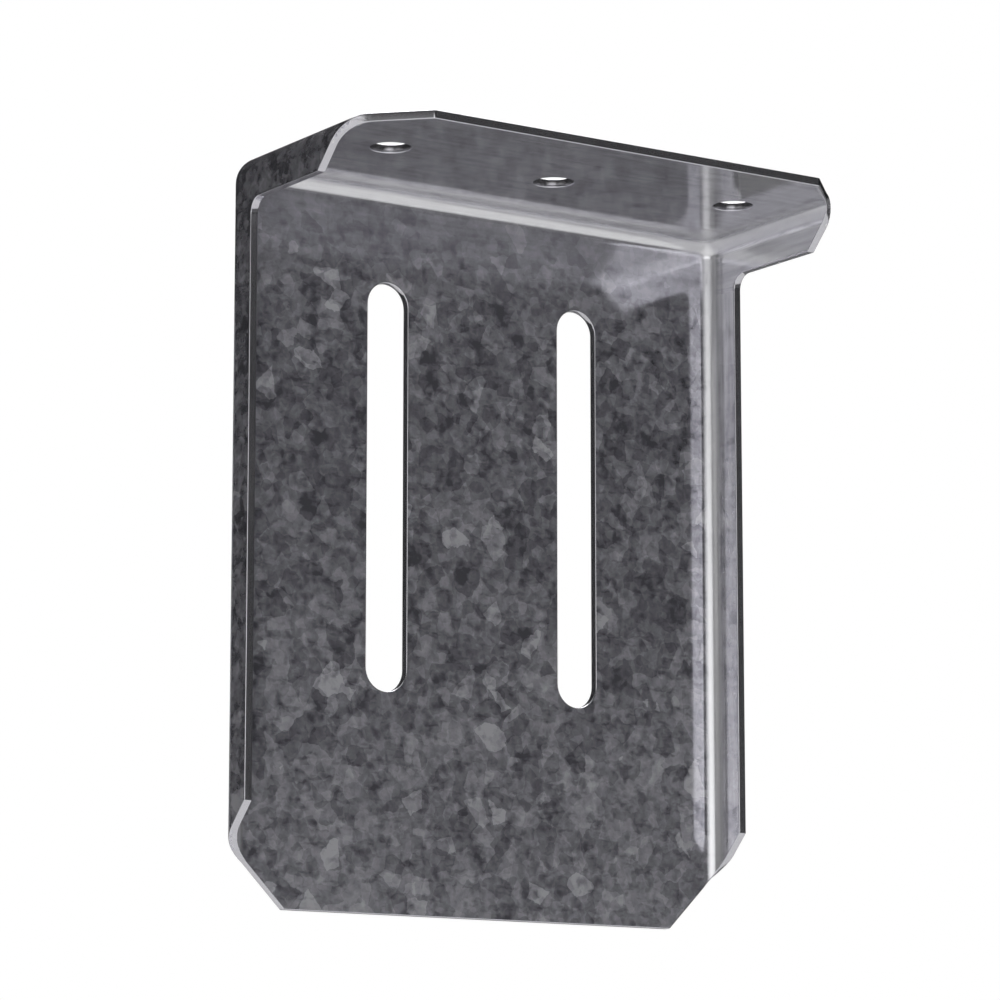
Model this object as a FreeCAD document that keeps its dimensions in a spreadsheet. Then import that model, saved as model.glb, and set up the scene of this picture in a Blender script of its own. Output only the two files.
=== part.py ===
"""Slide clip: one galvanised steel sheet drawn into a lipped angle with two long slots."""
import FreeCAD
import Part
import Sketcher
import math
import os

# Ends and centre of a piece of sketch geometry
START = 1
END = 2
CENTRE = 3

# Driving sizes in millimetres
SIZES = [
    ("overall_width", 82.55, "across the outsides of the two lips"),
    ("web_height", 101.6, "top face down to the foot of the web"),
    ("flange_depth", 37.6, "back of the web to the front edge of the flange"),
    ("sheet_thickness", 1.2, "galvanised sheet"),
    ("bend_radius", 2.4, "inside radius of the bends and of the ball corners where they meet"),
    ("lip_depth", 6.7, "outside of the sheet to the free edge of a lip"),
    ("lip_corner_radius", 2.2, "inside corner of a lip's free edge"),
    ("corner_cut", 9.525, "corner of the flat blank, cut at 45 degrees, from the side of the clip"),
    ("neutral_share", 0.4, "share of the thickness at which a bend keeps the blank's length"),
    ("slot_width", 6.5, "clear width of a slot"),
    ("slot_length", 57.15, "end to end of a slot"),
    ("slot_spacing", 31.75, "between the middles of the two slots"),
    ("slot_drop", 42.675, "top face down to the middle of the slots"),
    ("anchor_hole", 5.6, "diameter of the three holes in the flange"),
    ("anchor_spacing", 57.15, "between the outer holes"),
    ("anchor_setback", 21.85, "back of the web to the outer holes"),
    ("middle_setback", 18.7, "back of the web to the middle hole"),
]

# Sizes that follow from the driving ones, as expressions
RIGHT_SIDE = "(sizes.overall_width / 2)"
OUTER_RADIUS = "(sizes.bend_radius + sizes.sheet_thickness)"
BEND_START = "(%s - %s)" % (RIGHT_SIDE, OUTER_RADIUS)
FOOT = "(-sizes.web_height)"
FRONT = "(-sizes.flange_depth)"
SLOT_REACH = "((sizes.slot_length - sizes.slot_width) / 2)"

# The cut corner climbs as far as it runs along the blank: flat, round the bend, then along the lip
BEND_CLIMB = "(pi / 2 * (sizes.bend_radius + sizes.neutral_share * sizes.sheet_thickness))"
CLIMB_TO_BEND = "(sizes.corner_cut - %s)" % OUTER_RADIUS
CLIMB_TO_LIP = "(%s + %s)" % (CLIMB_TO_BEND, BEND_CLIMB)
CLIMB_TO_EDGE = "(%s + sizes.lip_depth - %s)" % (CLIMB_TO_LIP, OUTER_RADIUS)

# Cutters run past the sheet by its own thickness
BELOW_FOOT = "(%s - sizes.sheet_thickness)" % FOOT
BEFORE_FRONT = "(%s - sizes.sheet_thickness)" % FRONT
CUT_START = "(%s - sizes.corner_cut - sizes.sheet_thickness)" % RIGHT_SIDE
INSIDE_BEND = "(sizes.bend_radius / 2)"
OUTSIDE_BEND = "(%s + sizes.sheet_thickness)" % OUTER_RADIUS
BEFORE_CLIMB = "(-%s - sizes.sheet_thickness)" % BEND_CLIMB

doc = FreeCAD.newDocument("slide_clip")
sheet = doc.addObject("Spreadsheet::Sheet", "sizes")
for row, (name, value, meaning) in enumerate(SIZES, start=1):
    sheet.set("A%d" % row, name)
    sheet.set("B%d" % row, str(value))
    sheet.set("C%d" % row, meaning)
    sheet.setAlias("B%d" % row, name)
doc.recompute()

body = doc.addObject("PartDesign::Body", "slide_clip")
body.Label = "slide_clip"
planes = {plane.Role: plane for plane in body.Origin.OriginFeatures}
origin = FreeCAD.Vector(0, 0, 0)
up = FreeCAD.Vector(0, 0, 1)


def add_sketch(name, plane, offset=("0", "0", "0")):
    """Empty sketch on one of the body's planes, moved along the plane's own axes."""
    sketch = body.newObject("Sketcher::SketchObject", name)
    sketch.AttachmentSupport = (planes[plane], [""])
    sketch.MapMode = "FlatFace"
    for axis, expression in zip("xyz", offset):
        sketch.setExpression("AttachmentOffset.Base." + axis, expression)
    return sketch


def fix(sketch, name, constraint, expression):
    """Add a named constraint whose value follows an expression."""
    index = sketch.addConstraint(constraint)
    sketch.renameConstraint(index, name)
    sketch.setExpression("Constraints." + name, expression)


def fix_point(sketch, name, geometry, position, x, y, drawn_at=origin):
    """Hold one point of a sketch at a place given by two expressions."""
    fix(sketch, name + "_x", Sketcher.Constraint("DistanceX", geometry, position, drawn_at.x), x)
    fix(sketch, name + "_y", Sketcher.Constraint("DistanceY", geometry, position, drawn_at.y), y)


def add_polygon(sketch, corners):
    """Closed outline through named corners, each held by two expressions."""
    count = len(corners)
    turn = 2 * math.pi / count
    drawn = [FreeCAD.Vector(math.cos(turn * index), math.sin(turn * index), 0) for index in range(count)]
    sides = [Part.LineSegment(drawn[index - 1], drawn[index]) for index in range(count)]
    lines = sketch.addGeometry(sides)
    for line, (name, x, y), place in zip(lines, corners, drawn):
        following = lines[(line + 1) % count]
        sketch.addConstraint(Sketcher.Constraint("Coincident", line, END, following, START))
        fix_point(sketch, name, line, END, x, y, place)


def cut_through(name, sketch):
    """Cut the sketch right through the body, both ways."""
    pocket = body.newObject("PartDesign::Pocket", name)
    pocket.Profile = sketch
    pocket.Type = "ThroughAll"
    pocket.SideType = "Symmetric"
    return pocket


def cut_round_bend(name, section, axis, left_handed):
    """Carry a section a quarter turn round a bend while it climbs as the blank's cut does."""
    helix = body.newObject("PartDesign::SubtractiveHelix", name)
    helix.Profile = section
    helix.ReferenceAxis = (section, [axis])
    helix.Mode = "height-turns-angle"
    helix.setExpression("Height", BEND_CLIMB)
    helix.Turns = 0.25
    helix.LeftHanded = left_handed
    return helix


def near(a, b):
    return abs(a - b) < 1e-4


def names_where(items, kind, test):
    """Names of the edges or faces whose middle passes a test."""
    return ["%s%d" % (kind, place) for place, item in enumerate(items, start=1) if test(item.CenterOfMass)]


# Block with the outside form: back of the web at y = 0, top face at z = 0
block_outline = add_sketch("block_outline", "XY_Plane")
add_polygon(block_outline, [
    ("front_left", "-" + RIGHT_SIDE, FRONT),
    ("front_right", RIGHT_SIDE, FRONT),
    ("back_right", RIGHT_SIDE, "0"),
    ("back_left", "-" + RIGHT_SIDE, "0"),
])
block = body.newObject("PartDesign::Pad", "block")
block.Profile = block_outline
block.Reversed = True
block.setExpression("Length", "sizes.web_height")
doc.recompute()


# Outside of the bends, with a ball where three of them meet
def on_bend(middle):
    """True on an edge shared by two of the faces that stay: the top, the back and both sides."""
    return near(middle.z, 0) + near(middle.y, 0) + near(abs(middle.x), sheet.overall_width / 2) == 2


outer_bends = body.newObject("PartDesign::Fillet", "outer_bends")
outer_bends.Base = (block, names_where(block.Shape.Edges, "Edge", on_bend))
outer_bends.setExpression("Radius", OUTER_RADIUS)
doc.recompute()


# Shell of one sheet, open at the front and at the foot
def on_open_side(middle):
    return near(middle.y, -sheet.flange_depth) or near(middle.z, -sheet.web_height)


drawn_sheet = body.newObject("PartDesign::Thickness", "drawn_sheet")
drawn_sheet.Base = (outer_bends, names_where(outer_bends.Shape.Faces, "Face", on_open_side))
drawn_sheet.Reversed = True
drawn_sheet.setExpression("Value", "sizes.sheet_thickness")

# Side walls trimmed down to lips, with the cut corner across both ends of each lip
lip_outline = add_sketch("lip_outline", "YZ_Plane")
add_polygon(lip_outline, [
    ("foot_at_bend", "-" + OUTER_RADIUS, FOOT + " + " + CLIMB_TO_LIP),
    ("foot_at_edge", "-sizes.lip_depth", FOOT + " + " + CLIMB_TO_EDGE),
    ("inside_corner", "-sizes.lip_depth", "-sizes.lip_depth"),
    ("front_at_edge", FRONT + " + " + CLIMB_TO_EDGE, "-sizes.lip_depth"),
    ("front_at_bend", FRONT + " + " + CLIMB_TO_LIP, "-" + OUTER_RADIUS),
    ("front_clear", BEFORE_FRONT, "-" + OUTER_RADIUS),
    ("outer_corner", BEFORE_FRONT, BELOW_FOOT),
    ("foot_clear", "-" + OUTER_RADIUS, BELOW_FOOT),
])
lips = cut_through("lips", lip_outline)

# Slot on the right of the web
slot_outline = add_sketch("slot_outline", "XZ_Plane")
slot_radius = sheet.slot_width / 2
slot_middle = FreeCAD.Vector(sheet.slot_spacing / 2, -sheet.slot_drop, 0)
to_end = FreeCAD.Vector(0, (sheet.slot_length - sheet.slot_width) / 2, 0)
to_side = FreeCAD.Vector(slot_radius, 0, 0)
top_centre = slot_middle + to_end
low_centre = slot_middle - to_end
top_arc, left_line, low_arc, right_line = slot_outline.addGeometry([
    Part.ArcOfCircle(Part.Circle(top_centre, up, slot_radius), 0, math.pi),
    Part.LineSegment(top_centre - to_side, low_centre - to_side),
    Part.ArcOfCircle(Part.Circle(low_centre, up, slot_radius), math.pi, 2 * math.pi),
    Part.LineSegment(low_centre + to_side, top_centre + to_side),
])
for arc, arc_end, line, line_end in (
    (top_arc, END, left_line, START),
    (low_arc, START, left_line, END),
    (low_arc, END, right_line, START),
    (top_arc, START, right_line, END),
):
    slot_outline.addConstraint(Sketcher.Constraint("Tangent", arc, arc_end, line, line_end))
slot_outline.addConstraint(Sketcher.Constraint("Equal", top_arc, low_arc))
fix(slot_outline, "end_radius", Sketcher.Constraint("Radius", top_arc, slot_radius), "sizes.slot_width / 2")
for name, arc, sign, centre in (("top", top_arc, "+", top_centre), ("low", low_arc, "-", low_centre)):
    height = "-sizes.slot_drop %s %s" % (sign, SLOT_REACH)
    fix_point(slot_outline, name, arc, CENTRE, "sizes.slot_spacing / 2", height, centre)
slot = cut_through("slot", slot_outline)

# Right foot corner: the flat of the web, then round its bend
foot_outline = add_sketch("foot_corner_outline", "XZ_Plane")
add_polygon(foot_outline, [
    ("inner_low", CUT_START, BELOW_FOOT),
    ("bend_low", BEND_START, BELOW_FOOT),
    ("bend_high", BEND_START, FOOT + " + " + CLIMB_TO_BEND),
])
foot_corner = cut_through("foot_corner", foot_outline)

foot_section = add_sketch("foot_bend_section", "YZ_Plane", ("-" + OUTER_RADIUS, FOOT, BEND_START))
add_polygon(foot_section, [
    ("inside_low", INSIDE_BEND, BEFORE_CLIMB),
    ("outside_low", OUTSIDE_BEND, BEFORE_CLIMB),
    ("outside_high", OUTSIDE_BEND, CLIMB_TO_BEND),
    ("inside_high", INSIDE_BEND, CLIMB_TO_BEND),
])
foot_bend = cut_round_bend("foot_bend_corner", foot_section, "V_Axis", left_handed=True)

# Right front corner: the flat of the flange, then round its bend
front_outline = add_sketch("front_corner_outline", "XY_Plane")
add_polygon(front_outline, [
    ("inner_near", CUT_START, BEFORE_FRONT),
    ("bend_near", BEND_START, BEFORE_FRONT),
    ("bend_far", BEND_START, FRONT + " + " + CLIMB_TO_BEND),
])
front_corner = cut_through("front_corner", front_outline)

front_section = add_sketch("front_bend_section", "YZ_Plane", (FRONT, "-" + OUTER_RADIUS, BEND_START))
add_polygon(front_section, [
    ("inside_near", BEFORE_CLIMB, INSIDE_BEND),
    ("inside_far", CLIMB_TO_BEND, INSIDE_BEND),
    ("outside_far", CLIMB_TO_BEND, OUTSIDE_BEND),
    ("outside_near", BEFORE_CLIMB, OUTSIDE_BEND),
])
front_bend = cut_round_bend("front_bend_corner", front_section, "H_Axis", left_handed=False)

# The same slot and corners on the left
left_side = body.newObject("PartDesign::Mirrored", "left_side")
left_side.Originals = [slot, foot_corner, foot_bend, front_corner, front_bend]
left_side.MirrorPlane = (planes["YZ_Plane"], [""])
body.Tip = left_side

# Three anchor holes in the flange, the middle one nearer the web
hole_outline = add_sketch("anchor_hole_outline", "XY_Plane")
hole_radius = sheet.anchor_hole / 2
for name, x, y in (
    ("left", "-sizes.anchor_spacing / 2", "-sizes.anchor_setback"),
    ("middle", "0", "-sizes.middle_setback"),
    ("right", "sizes.anchor_spacing / 2", "-sizes.anchor_setback"),
):
    hole = hole_outline.addGeometry(Part.Circle(origin, up, hole_radius))
    fix(hole_outline, name + "_radius", Sketcher.Constraint("Radius", hole, hole_radius), "sizes.anchor_hole / 2")
    fix_point(hole_outline, name, hole, CENTRE, x, y)
anchor_holes = cut_through("anchor_holes", hole_outline)
doc.recompute()


# Rounded inside corner of each lip's free edge
def on_lip_corner(middle):
    return near(middle.y, -sheet.lip_depth) and near(middle.z, -sheet.lip_depth)


lip_corners = body.newObject("PartDesign::Fillet", "lip_corners")
lip_corners.Base = (anchor_holes, names_where(anchor_holes.Shape.Edges, "Edge", on_lip_corner))
lip_corners.setExpression("Radius", "sizes.lip_corner_radius")
body.Tip = lip_corners

# Origin on the top face, midway between the outer anchor holes
body.setExpression("Placement.Base.y", "sizes.anchor_setback")
doc.recompute()

for item in doc.Objects:
    if "Invalid" in item.State or "Error" in item.State:
        raise RuntimeError("%s did not build: %s" % (item.Name, item.State))
if body.Shape.isNull() or not body.Shape.isValid() or len(body.Shape.Solids) != 1:
    raise RuntimeError("the clip is not one valid solid")

os.makedirs("parts", exist_ok=True)
body.Shape.exportStep("parts/%s.step" % body.Label)
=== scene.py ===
"""Slide clip of hot-dip galvanised sheet, held over a pale studio floor and seen from below left."""
import math

import bmesh
import bpy
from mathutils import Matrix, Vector
from mathutils.bvhtree import BVHTree


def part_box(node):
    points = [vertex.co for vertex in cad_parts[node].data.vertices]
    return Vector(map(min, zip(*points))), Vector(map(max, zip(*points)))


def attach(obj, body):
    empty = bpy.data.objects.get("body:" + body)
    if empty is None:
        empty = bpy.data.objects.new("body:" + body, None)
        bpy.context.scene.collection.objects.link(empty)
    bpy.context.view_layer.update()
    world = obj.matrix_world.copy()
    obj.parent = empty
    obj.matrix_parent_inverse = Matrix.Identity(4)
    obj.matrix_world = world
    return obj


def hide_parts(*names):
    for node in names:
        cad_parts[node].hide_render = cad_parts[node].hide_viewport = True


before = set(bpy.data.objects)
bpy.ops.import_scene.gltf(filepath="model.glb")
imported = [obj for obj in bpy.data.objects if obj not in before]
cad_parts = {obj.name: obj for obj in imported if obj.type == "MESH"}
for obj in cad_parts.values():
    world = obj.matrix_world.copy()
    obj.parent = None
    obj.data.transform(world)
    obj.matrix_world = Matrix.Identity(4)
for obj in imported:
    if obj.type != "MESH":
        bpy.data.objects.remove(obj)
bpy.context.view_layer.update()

# The sheet and its rounded arrises: sizes in metres, and the steps round an arris
MM = 0.001
SHEET = 1.2 * MM
ARRIS = 0.16 * MM
ARRIS_STEPS = 3

# What counts in the solid as one point, one flat face, a sharp edge and a cut face
SAME_POINT = 0.001 * MM
SAME_FLAT = math.radians(0.2)
SHARP_TURN = math.radians(30)
UNDER_SKIN = 0.01 * MM
CUT_DEPTH = 1.5 * SHEET

# Sizes of the patterns in the surface, in millimetres
CRYSTAL_EDGE_WAVE = 1.2
CRYSTAL_EDGE_REACH = 0.9
MARK_LENGTH = 12.0
MARK_WIDTH = 1.0
SCORE_SIZE = 0.25
DRAG_SIZE = 0.8

# The part of a noise pattern's range that is read, for marks and for scores
MARKS_LOW = 0.3
MARKS_HIGH = 0.7
SCORES_LOW = 0.35
SCORES_HIGH = 0.65

# Heights at which the zinc, its painted light towards the foot, its painted glow below the top bend and its
# painted sheen change, in millimetres from the top face
FOOT_LIGHT_START = -30.0
FOOT_LIGHT_FULL = -100.0
SMOOTH_GLOW_TOP = -5.0
SMOOTH_GLOW_FOOT = -17.0
SHEEN_TOP = -6.0
SHEEN_FOOT = -35.0
LEVEL_MARKS_FOOT = -8.0
UPRIGHT_MARKS_TOP = -9.0

# A face is on the outside if this point lies behind it, wholly so at this distance, in millimetres
MIDDLE_OF_ANGLE = (0.0, 0.0, -20.0)
WHOLLY_OUTSIDE = 2.0

# A face starts to count as facing along an axis, and fully does, at these shares of its normal
FACING_FROM = 0.85
FACING_FULLY = 0.98

# A face starts to count as part of a bend, and fully does, where no axis has a larger share
BENT_FROM = 0.99
BENT_FULLY = 0.88

# Tones of the zinc: clear metal, the thickest bloom, the darkest speck, drawn walls, and the painted light
# added towards the foot and below the top bend
CLEAR = 1.43
CLOUDED = 2.32
DARKEST = 1.04
DRAWN_DARK = 1.22
DRAWN_PALE = 1.60
FOOT_LIGHT_GAIN = 0.22
PAINTED_GLOW_GAIN = 0.32

# Shares: the spangle left on drawn walls, how far the smoothing and its painted glow go, and how far the
# painted sheen goes on bends and lips
SPANGLE_LEFT = 0.25
SMOOTH_GLOW_MOST = 0.6
BENDS_SHEEN = 0.7
LIPS_SHEEN_LEAST = 0.3
LIPS_SHEEN_MOST = 0.8

# The view, worked out from the outline, slots and holes
EYE = Vector((-0.31340, -0.45198, -0.14404))
AIM = Vector((0.01399, 0.03735, -0.03926))
LENS = 148.38
FILM_WIDTH = 36.0

# The studio: sizes and places in metres from the origin on the top face, and the steps along a bent card
FLOOR_DROP = 0.35
FLOOR_WIDTH = 8.0
CLIP_MIDDLE = (0, 0, -0.04)
WEB_MIDDLE = (0, 0.02, -0.04)
CARD_STEPS = 24

# How bright the floor and the room are to the eye, and the room as light on the clip
FLOOR_GLOW = 0.8
ROOM_SEEN = 1.0
ROOM_LIGHT = 0.4


def linear(hex_colour):
    """sRGB hex to the linear colour that a shader takes."""
    channels = [int(hex_colour[place:place + 2], 16) / 255 for place in (1, 3, 5)]
    curve = [c / 12.92 if c <= 0.04045 else ((c + 0.055) / 1.055) ** 2.4 for c in channels]
    return (*curve, 1.0)


def add_node(tree, kind, inputs=None, **settings):
    """Add a shader node, set its properties, and feed its sockets from values or other sockets."""
    node = tree.nodes.new("ShaderNode" + kind)
    for name, value in settings.items():
        setattr(node, name, value)
    for socket, value in (inputs or {}).items():
        if isinstance(value, bpy.types.NodeSocket):
            tree.links.new(value, node.inputs[socket])
        else:
            node.inputs[socket].default_value = value
    return node


def new_material(name):
    """Empty node material and its tree."""
    material = bpy.data.materials.new(name)
    material.use_nodes = True
    material.node_tree.nodes.clear()
    return material, material.node_tree


def place_in_mm(tree):
    """Where a point lies on the clip, in millimetres."""
    place = add_node(tree, "TexCoord").outputs["Object"]
    return add_node(tree, "VectorMath", {0: place, "Scale": 1 / MM}, operation="SCALE").outputs[0]


def spangle(tree, in_mm, height):
    """Tone of the frozen crystals: grey patches with ragged outlines, some of them bright, and dark specks
    between. The tone is raised towards the foot, a painted light from below that makes the zinc paler
    there."""
    wave = add_node(tree, "TexNoise", {
        "Vector": in_mm, "Scale": 1 / CRYSTAL_EDGE_WAVE, "Detail": 3.0}).outputs["Color"]
    ragged = add_node(tree, "VectorMath", {
        0: wave, 1: [CRYSTAL_EDGE_REACH] * 3, 2: in_mm}, operation="MULTIPLY_ADD").outputs[0]

    # Pattern, its size in millimetres, finer octaves and their strength, the range read, and its weight
    layers = {
        "large crystals": ("TexVoronoi", (2.6, 2.6, 2.6), 0.0, 0.5, 0.00, 1.00, 0.60),
        "small crystals": ("TexVoronoi", (1.4, 1.4, 1.4), 0.0, 0.5, 0.00, 1.00, 0.45),
        "bright crystals": ("TexVoronoi", (3.4, 3.4, 3.4), 0.0, 0.5, 0.84, 0.87, 0.50),
        "clouds": ("TexNoise", (1.6, 1.6, 1.6), 2.0, 0.5, 0.00, 1.00, 1.30),
        "uneven dip": ("TexNoise", (16.0, 16.0, 16.0), 1.0, 0.5, 0.00, 1.00, 0.50),
        "fine grain": ("TexNoise", (0.3, 0.3, 0.3), 2.0, 0.5, 0.00, 1.00, 0.30),
        "dark specks": ("TexNoise", (4.0, 4.0, 4.0), 2.0, 0.9, 0.52, 0.66, -0.60),
        "dark smears": ("TexNoise", (4.0, 4.0, 1.4), 2.0, 0.8, 0.54, 0.70, -0.50),
    }
    tone = 0.0
    for label, (kind, size, octaves, strength, low, high, weight) in layers.items():
        scaled = add_node(tree, "VectorMath", {
            0: ragged, 1: [1 / side for side in size]}, operation="MULTIPLY").outputs[0]
        pattern = add_node(
            tree, kind, {"Vector": scaled, "Scale": 1.0, "Detail": octaves, "Roughness": strength},
            label=label).outputs["Color"]
        layer = add_node(tree, "MapRange", {
            "Value": pattern, "From Min": low, "From Max": high}).outputs[0]
        tone = add_node(
            tree, "Math", {0: layer, 1: weight, 2: tone}, operation="MULTIPLY_ADD").outputs[0]
    # Paler towards the foot: painted light from below, added to the crystals' tone
    painted_foot_light = add_node(tree, "MapRange", {
        "Value": height, "From Min": FOOT_LIGHT_START, "From Max": FOOT_LIGHT_FULL}).outputs[0]
    return add_node(
        tree, "Math", {0: painted_foot_light, 1: FOOT_LIGHT_GAIN, 2: tone}, operation="MULTIPLY_ADD").outputs[0]


def drawing_marks(tree, in_mm, height, sides, web):
    """Streaks that the tools left along the bends: from side to side on the web and the flange, lengthwise
    on the flange's lips and upright on the web's lips. Real ones are a few hundredths of a millimetre wide;
    they are drawn as coarse as they need to be to show."""
    near_top = add_node(tree, "MapRange", {
        "Value": height, "From Min": UPRIGHT_MARKS_TOP, "From Max": LEVEL_MARKS_FOOT}).outputs[0]
    upright = add_node(tree, "Math", {0: 1.0, 1: sides["Z"]}, operation="SUBTRACT").outputs[0]
    lip_marks = add_node(tree, "Math", {0: upright, 1: near_top}, operation="MULTIPLY").outputs[0]
    level_marks = add_node(tree, "Math", {0: lip_marks, 1: web}, operation="MAXIMUM").outputs[0]
    along = 1 / MARK_LENGTH
    across = 1 / MARK_WIDTH
    fineness = add_node(
        tree, "Mix", {"Factor": level_marks, "A": (along, across, along), "B": (along, along, across)},
        data_type="VECTOR").outputs["Result"]
    streaked = add_node(tree, "VectorMath", {0: in_mm, 1: fineness}, operation="MULTIPLY").outputs[0]
    return add_node(tree, "TexNoise", {"Vector": streaked, "Scale": 1.0, "Detail": 2.0}).outputs["Fac"]


def painted_sheen_share(tree, height, sides, marks):
    """Share of painted sheen, for highlights on the inside: even in the bends, in streaks on the lips near
    the flange.
    """
    squarest = add_node(tree, "Math", {0: sides["X"], 1: sides["Y"]}, operation="MAXIMUM").outputs[0]
    squarest = add_node(tree, "Math", {0: squarest, 1: sides["Z"]}, operation="MAXIMUM").outputs[0]
    bends = add_node(tree, "MapRange", {
        "Value": squarest, "From Min": BENT_FROM, "From Max": BENT_FULLY,
        "To Max": BENDS_SHEEN}).outputs[0]
    lips = add_node(tree, "MapRange", {
        "Value": sides["X"], "From Min": FACING_FROM, "From Max": FACING_FULLY}).outputs[0]
    near_flange = add_node(tree, "MapRange", {
        "Value": height, "From Min": SHEEN_FOOT, "From Max": SHEEN_TOP}).outputs[0]
    streaks = add_node(tree, "MapRange", {
        "Value": marks, "From Min": MARKS_LOW, "From Max": MARKS_HIGH,
        "To Min": LIPS_SHEEN_LEAST, "To Max": LIPS_SHEEN_MOST}).outputs[0]
    lips = add_node(tree, "Math", {0: lips, 1: near_flange}, operation="MULTIPLY").outputs[0]
    lips = add_node(tree, "Math", {0: lips, 1: streaks}, operation="MULTIPLY").outputs[0]
    return add_node(tree, "Math", {0: bends, 1: lips}, operation="MAXIMUM").outputs[0]


def hot_dip_zinc():
    """Zinc frozen on the sheet in crystals and rolled smooth: it mirrors the room like dull metal, and
    each crystal has its own grey bloom, so the spangle shows as patches with dark specks between. The
    tools drew marks over the inside of the flange, bends and lips, and a painted sheen makes the inside
    of the bends and lips paler, as highlights would."""
    material, tree = new_material("hot_dip_zinc_spangle")
    in_mm = place_in_mm(tree)
    height = add_node(tree, "SeparateXYZ", {0: in_mm}).outputs["Z"]
    normal = add_node(tree, "TexCoord").outputs["Normal"]
    turned = add_node(tree, "VectorMath", {0: normal}, operation="ABSOLUTE").outputs[0]
    sides = add_node(tree, "SeparateXYZ", {0: turned}).outputs
    web = add_node(tree, "MapRange", {
        "Value": sides["Y"], "From Min": FACING_FROM, "From Max": FACING_FULLY}).outputs[0]

    # A face that looks away from the middle of the angle is on the outside
    from_middle = add_node(
        tree, "VectorMath", {0: in_mm, 1: MIDDLE_OF_ANGLE}, operation="SUBTRACT").outputs[0]
    outward = add_node(
        tree, "VectorMath", {0: normal, 1: from_middle}, operation="DOT_PRODUCT").outputs["Value"]
    outside = add_node(tree, "MapRange", {"Value": outward, "From Max": WHOLLY_OUTSIDE}).outputs[0]
    inside = add_node(tree, "Math", {0: 1.0, 1: outside}, operation="SUBTRACT").outputs[0]

    # Drawing marks take most of the spangle's place on the inside of the flange, bends and lips
    frozen = spangle(tree, in_mm, height)
    marks = drawing_marks(tree, in_mm, height, sides, web)
    drawn = add_node(tree, "MapRange", {
        "Value": marks, "From Min": MARKS_LOW, "From Max": MARKS_HIGH,
        "To Min": DRAWN_DARK, "To Max": DRAWN_PALE}).outputs[0]
    untouched = add_node(tree, "Math", {0: web, 1: outside}, operation="MAXIMUM").outputs[0]
    spangled = add_node(tree, "MapRange", {"Value": untouched, "To Min": SPANGLE_LEFT}).outputs[0]

    # Below the top bend the inside of the web is drawn smoother, and a painted glow makes it paler,
    # carrying the bend's highlight down onto the web
    below_bend = add_node(tree, "MapRange", {
        "Value": height, "From Min": SMOOTH_GLOW_FOOT, "From Max": SMOOTH_GLOW_TOP,
        "To Max": SMOOTH_GLOW_MOST}).outputs[0]
    smooth = add_node(tree, "Math", {0: below_bend, 1: inside}, operation="MULTIPLY").outputs[0]
    smooth = add_node(tree, "Math", {0: smooth, 1: web}, operation="MULTIPLY").outputs[0]
    drawn_with_glow = add_node(tree, "Math", {0: drawn, 1: PAINTED_GLOW_GAIN}, operation="ADD").outputs[0]
    tone = add_node(tree, "Mix", {"Factor": smooth, "A": frozen, "B": drawn_with_glow}).outputs["Result"]
    tone = add_node(tree, "Mix", {"Factor": spangled, "A": drawn, "B": tone}).outputs["Result"]

    # Bloom pales the zinc, specks darken it, and the painted sheen on the inside of the bends and lips
    # makes it palest
    bloom = add_node(tree, "MapRange", {
        "Value": tone, "From Min": CLEAR, "From Max": CLOUDED}).outputs[0]
    speck = add_node(tree, "MapRange", {
        "Value": tone, "From Min": CLEAR, "From Max": DARKEST}).outputs[0]
    painted_sheen = add_node(tree, "Math", {
        0: painted_sheen_share(tree, height, sides, marks), 1: inside}, operation="MULTIPLY").outputs[0]
    colour = add_node(
        tree, "Mix", {"Factor": spangled, "A": linear("#C3C3C4"), "B": linear("#C1C0C9")},
        data_type="RGBA").outputs["Result"]
    for share, hex_colour in ((bloom, "#ECEBF1"), (speck, "#8E8D95"), (painted_sheen, "#EEEEF0")):
        colour = add_node(
            tree, "Mix", {"Factor": share, "A": colour, "B": linear(hex_colour)},
            data_type="RGBA").outputs["Result"]

    # Pale zinc, with bloom or painted sheen, is duller
    pale = add_node(tree, "Math", {0: bloom, 1: painted_sheen}, operation="MAXIMUM").outputs[0]
    metallic = add_node(tree, "MapRange", {"Value": pale, "To Min": 0.73, "To Max": 0.46}).outputs[0]
    roughness = add_node(tree, "MapRange", {"Value": pale, "To Min": 0.10, "To Max": 0.13}).outputs[0]
    shader = add_node(tree, "BsdfPrincipled", {
        "Base Color": colour, "Metallic": metallic, "Roughness": roughness})
    add_node(tree, "OutputMaterial", {"Surface": shader.outputs[0]})
    return material


def sheared_steel():
    """Steel where the die has cut the sheet: bare grey metal that mirrors more than the zinc, finely
    scored. The scores are drawn coarser than real ones, so that they show."""
    material, tree = new_material("sheared_steel_edge")
    scores = add_node(tree, "TexNoise", {
        "Vector": place_in_mm(tree), "Scale": 1 / SCORE_SIZE, "Detail": 2.0}).outputs["Fac"]
    roughness = add_node(tree, "MapRange", {
        "Value": scores, "From Min": SCORES_LOW, "From Max": SCORES_HIGH,
        "To Min": 0.12, "To Max": 0.17}).outputs[0]
    shader = add_node(tree, "BsdfPrincipled", {
        "Base Color": linear("#CAC9CE"), "Metallic": 0.86, "Roughness": roughness})
    add_node(tree, "OutputMaterial", {"Surface": shader.outputs[0]})
    return material


def smeared_zinc():
    """Zinc that the die has dragged over the sheared corner and polished: the brightest line on the
    part."""
    material, tree = new_material("smeared_zinc_arris")
    drag = add_node(tree, "TexNoise", {
        "Vector": place_in_mm(tree), "Scale": 1 / DRAG_SIZE, "Detail": 2.0}).outputs["Fac"]
    roughness = add_node(tree, "MapRange", {
        "Value": drag, "From Min": SCORES_LOW, "From Max": SCORES_HIGH,
        "To Min": 0.12, "To Max": 0.22}).outputs[0]
    shader = add_node(tree, "BsdfPrincipled", {
        "Base Color": linear("#C8C7CC"), "Metallic": 0.95, "Roughness": roughness})
    add_node(tree, "OutputMaterial", {"Surface": shader.outputs[0]})
    return material


def add_object(name, data):
    """Object with this data, linked to the scene."""
    thing = bpy.data.objects.new(name, data)
    bpy.context.scene.collection.objects.link(thing)
    return thing


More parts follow.
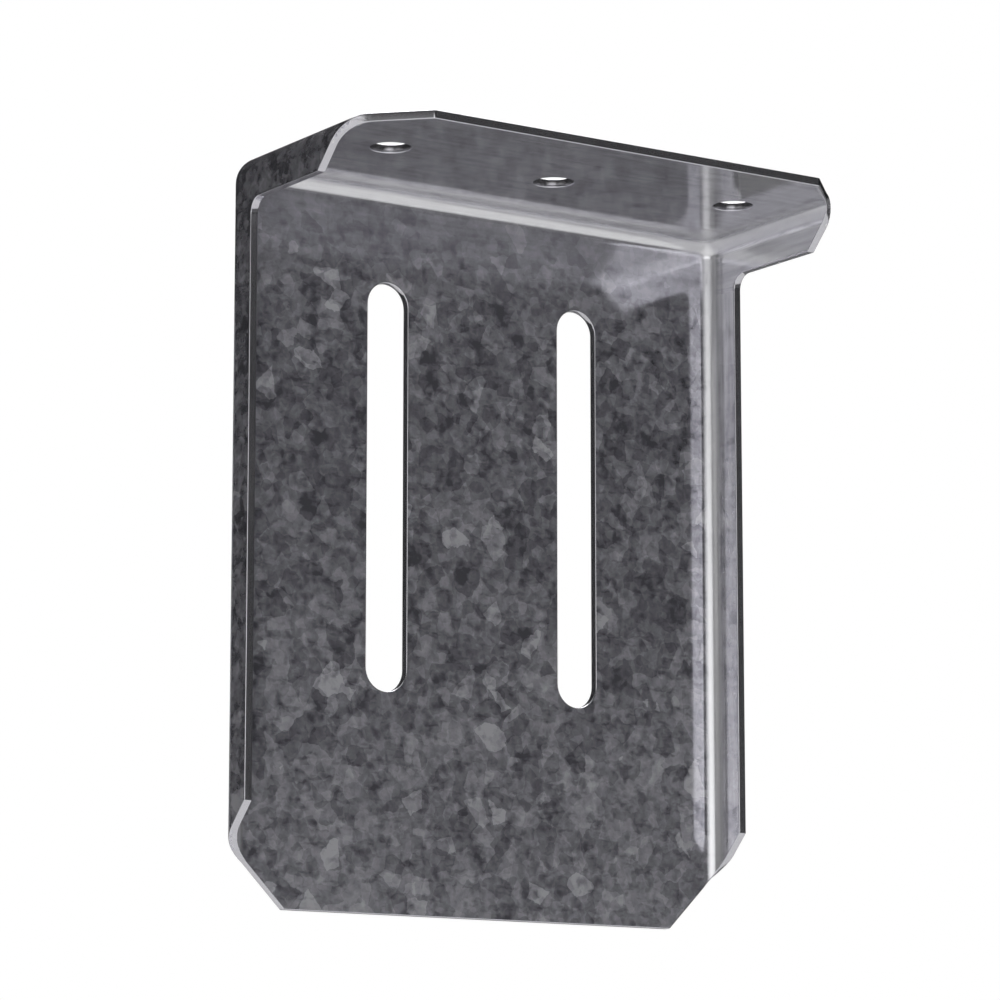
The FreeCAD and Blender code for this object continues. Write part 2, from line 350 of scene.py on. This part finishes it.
def make_clip():
    """The clip's own form with its sheared arrises slightly rounded and its cut faces set apart."""
    shape = bmesh.new()
    shape.from_mesh(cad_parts["slide_clip"].data)
    bmesh.ops.remove_doubles(shape, verts=shape.verts, dist=SAME_POINT)
    bmesh.ops.dissolve_limit(shape, angle_limit=SAME_FLAT, verts=shape.verts, edges=shape.edges)

    # Seen from just under a face, the sheet's other side is near on the skin and far on a cut
    skin, cut, arris = range(3)
    tree = BVHTree.FromBMesh(shape)
    for face in shape.faces:
        probe = face.calc_center_median_weighted() - face.normal * UNDER_SKIN
        depth = tree.ray_cast(probe, -face.normal)[3] or 0.0
        face.material_index = cut if depth > CUT_DEPTH else skin

    sharp = [edge for edge in shape.edges if edge.calc_face_angle(0) > SHARP_TURN]
    bmesh.ops.bevel(
        shape, geom=sharp, offset=ARRIS, offset_type="OFFSET", segments=ARRIS_STEPS, profile=0.5,
        affect="EDGES", material=arris, loop_slide=False, clamp_overlap=False)
    for face in shape.faces:
        face.smooth = True

    # No point lies past the solid's own box
    lowest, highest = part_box("slide_clip")
    for vertex in shape.verts:
        vertex.co = [min(max(at, low), high) for at, low, high in zip(vertex.co, lowest, highest)]
    mesh = bpy.data.meshes.new("clip_sheet")
    shape.to_mesh(mesh)
    shape.free()
    for material in (hot_dip_zinc(), sheared_steel(), smeared_zinc()):
        mesh.materials.append(material)
    clip = add_object("clip_sheet", mesh)
    clip.modifiers.new("flat faces stay flat", "WEIGHTED_NORMAL")
    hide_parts("slide_clip")
    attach(clip, "root")


def turn_to(thing, place, aim, axis):
    """Put an object at a place, with one of its axes pointing at an aim."""
    thing.location = place
    thing.rotation_euler = (Vector(aim) - Vector(place)).to_track_quat(axis, "Y").to_euler()


def seen_rays(tree):
    """1 for rays from the camera, a mirror or glass, 0 for the soft light between surfaces."""
    path = add_node(tree, "LightPath").outputs
    seen = path["Is Camera Ray"]
    for kind in ("Is Glossy Ray", "Is Transmission Ray"):
        seen = add_node(tree, "Math", {0: seen, 1: path[kind]}, operation="MAXIMUM").outputs[0]
    return seen


def floor_paper():
    """Pale studio paper. To the eye and in mirrors a glow makes it even, and its faint paint keeps a soft
    shadow; the light between surfaces finds plain pale paper."""
    material, tree = new_material("pale_floor_paper")
    seen = seen_rays(tree)
    colour = add_node(
        tree, "Mix", {"Factor": seen, "A": linear("#E6E6E6"), "B": linear("#5A5A5A")},
        data_type="RGBA").outputs["Result"]
    glow = add_node(tree, "Math", {0: seen, 1: FLOOR_GLOW}, operation="MULTIPLY").outputs[0]
    shader = add_node(tree, "BsdfPrincipled", {
        "Base Color": colour, "Roughness": 0.9, "Specular IOR Level": 0.0,
        "Emission Color": linear("#FFFFFF"), "Emission Strength": glow})
    add_node(tree, "OutputMaterial", {"Surface": shader.outputs[0]})
    return material


def matt_paint(name, hex_colour):
    """Matt paint on a studio card: plain colour without shine."""
    material, tree = new_material(name)
    shader = add_node(tree, "BsdfPrincipled", {
        "Base Color": linear(hex_colour), "Roughness": 0.9, "Specular IOR Level": 0.0})
    add_node(tree, "OutputMaterial", {"Surface": shader.outputs[0]})
    return material


def softbox_cloth(name, width, height, radiance):
    """Lit cloth, brightest in the middle and fading to nothing at its edge."""
    material, tree = new_material(name)
    spot = add_node(tree, "TexCoord").outputs["Object"]
    share = add_node(
        tree, "VectorMath", {0: spot, 1: (2 / width, 2 / height, 0)}, operation="MULTIPLY").outputs[0]
    out = add_node(tree, "VectorMath", {0: share}, operation="LENGTH").outputs["Value"]
    level = add_node(
        tree, "MapRange", {"Value": out, "To Min": radiance, "To Max": 0.0},
        interpolation_type="SMOOTHSTEP").outputs["Result"]
    glow = add_node(tree, "Emission", {"Strength": level})
    add_node(tree, "OutputMaterial", {"Surface": glow.outputs[0]})
    return material


def flat_sheet(name, width, height, material):
    """Flat rectangle for the studio, round its own origin."""
    x = width / 2
    y = height / 2
    mesh = bpy.data.meshes.new(name)
    mesh.from_pydata([(-x, -y, 0), (x, -y, 0), (x, y, 0), (-x, y, 0)], [], [(0, 1, 2, 3)])
    mesh.materials.append(material)
    return add_object(name, mesh)


def curved_card(name, from_turn, to_turn, top, radius, material):
    """Card that stands on the floor, bent round the clip; turns are in degrees to the right of straight
    ahead."""
    shape = bmesh.new()
    posts = []
    for step in range(CARD_STEPS + 1):
        turn = math.radians(from_turn + (to_turn - from_turn) * step / CARD_STEPS)
        x = math.sin(turn) * radius
        y = -math.cos(turn) * radius
        posts.append([shape.verts.new((x, y, z)) for z in (-FLOOR_DROP, top)])
    for first, second in zip(posts, posts[1:]):
        shape.faces.new((first[0], second[0], second[1], first[1]))
    mesh = bpy.data.meshes.new(name)
    shape.to_mesh(mesh)
    shape.free()
    mesh.materials.append(material)
    card = add_object(name, mesh)
    card.visible_camera = False


def softbox(name, place, width, height, radiance):
    """Softbox that faces the clip; the camera looks through it."""
    cloth = softbox_cloth(name + "_cloth", width, height, radiance)
    card = flat_sheet(name, width, height, cloth)
    turn_to(card, place, CLIP_MIDDLE, "Z")
    card.visible_camera = False


def soft_light(name, place, aim, width, height, radiance, spread):
    """Rectangular lamp that faces a point, as bright as asked; its spread is in degrees."""
    lamp = bpy.data.lights.new(name, "AREA")
    lamp.shape = "RECTANGLE"
    lamp.size = width
    lamp.size_y = height
    lamp.energy = radiance * math.pi * width * height
    lamp.spread = math.radians(spread)
    light = add_object(name, lamp)
    turn_to(light, place, aim, "-Z")
    light.visible_camera = False


def make_studio():
    """Pale floor, cards for the zinc to mirror, and soft light from the front and the side."""
    floor = flat_sheet("floor", FLOOR_WIDTH, FLOOR_WIDTH, floor_paper())
    floor.location.z = -FLOOR_DROP

    # The web mirrors the right flag, the left lip the back flag, and the flange's right end the back card
    dark = matt_paint("dark_studio_wall", "#4A4A4C")
    grey = matt_paint("grey_card", "#8C8C8E")
    pale = matt_paint("pale_card", "#C8C8CA")
    curved_card("studio_wall", from_turn=-300, to_turn=60, top=1.5, radius=1.25, material=dark)
    curved_card("right_flag", from_turn=8, to_turn=100, top=1.2, radius=0.8, material=dark)
    curved_card("right_low_card", from_turn=8, to_turn=100, top=-0.04, radius=0.79, material=grey)
    curved_card("back_flag", from_turn=190, to_turn=235, top=0.1, radius=0.55, material=dark)
    curved_card("back_card", from_turn=100, to_turn=190, top=0.1, radius=0.55, material=pale)

    softbox("key_softbox", place=(-0.47, -0.88, -0.06), width=1.9, height=1.2, radiance=1.77)
    softbox("side_softbox", place=(-0.97, -0.3, 0.15), width=1.4, height=0.5, radiance=0.42)

    # Two pools of light on the floor come back up to the flange, and the last lamp is for the web's back
    soft_light(
        "right_pool", place=(0.22, -0.22, 0.7), aim=(0.22, -0.22, 0),
        width=0.25, height=0.25, radiance=0.9, spread=40)
    soft_light(
        "front_pool", place=(-0.3, -0.5, 0.7), aim=(-0.3, -0.5, 0),
        width=0.3, height=0.3, radiance=5.4, spread=50)
    soft_light(
        "back_light", place=(0.35, 0.6, 0.75), aim=WEB_MIDDLE,
        width=0.9, height=0.7, radiance=0.6, spread=35)


def make_room():
    """White room round the studio: full white to the eye and in mirrors, and dimmer as light on the
    clip."""
    world = bpy.data.worlds.new("studio")
    bpy.context.scene.world = world
    world.use_nodes = True
    tree = world.node_tree
    tree.nodes.clear()
    level = add_node(tree, "MapRange", {
        "Value": seen_rays(tree), "To Min": ROOM_LIGHT, "To Max": ROOM_SEEN}).outputs["Result"]
    light = add_node(tree, "Background", {"Color": linear("#FFFFFF"), "Strength": level})
    add_node(tree, "OutputWorld", {"Surface": light.outputs[0]})


def make_camera():
    """Camera at the photograph's view."""
    view = bpy.data.cameras.new("photo_view")
    view.lens = LENS
    view.sensor_width = FILM_WIDTH
    view.clip_start = 10 * MM
    camera = add_object("photo_view", view)
    turn_to(camera, EYE, AIM, "-Z")
    bpy.context.scene.camera = camera


make_clip()
make_studio()
make_room()
make_camera()
bpy.context.scene.view_settings.view_transform = "Standard"
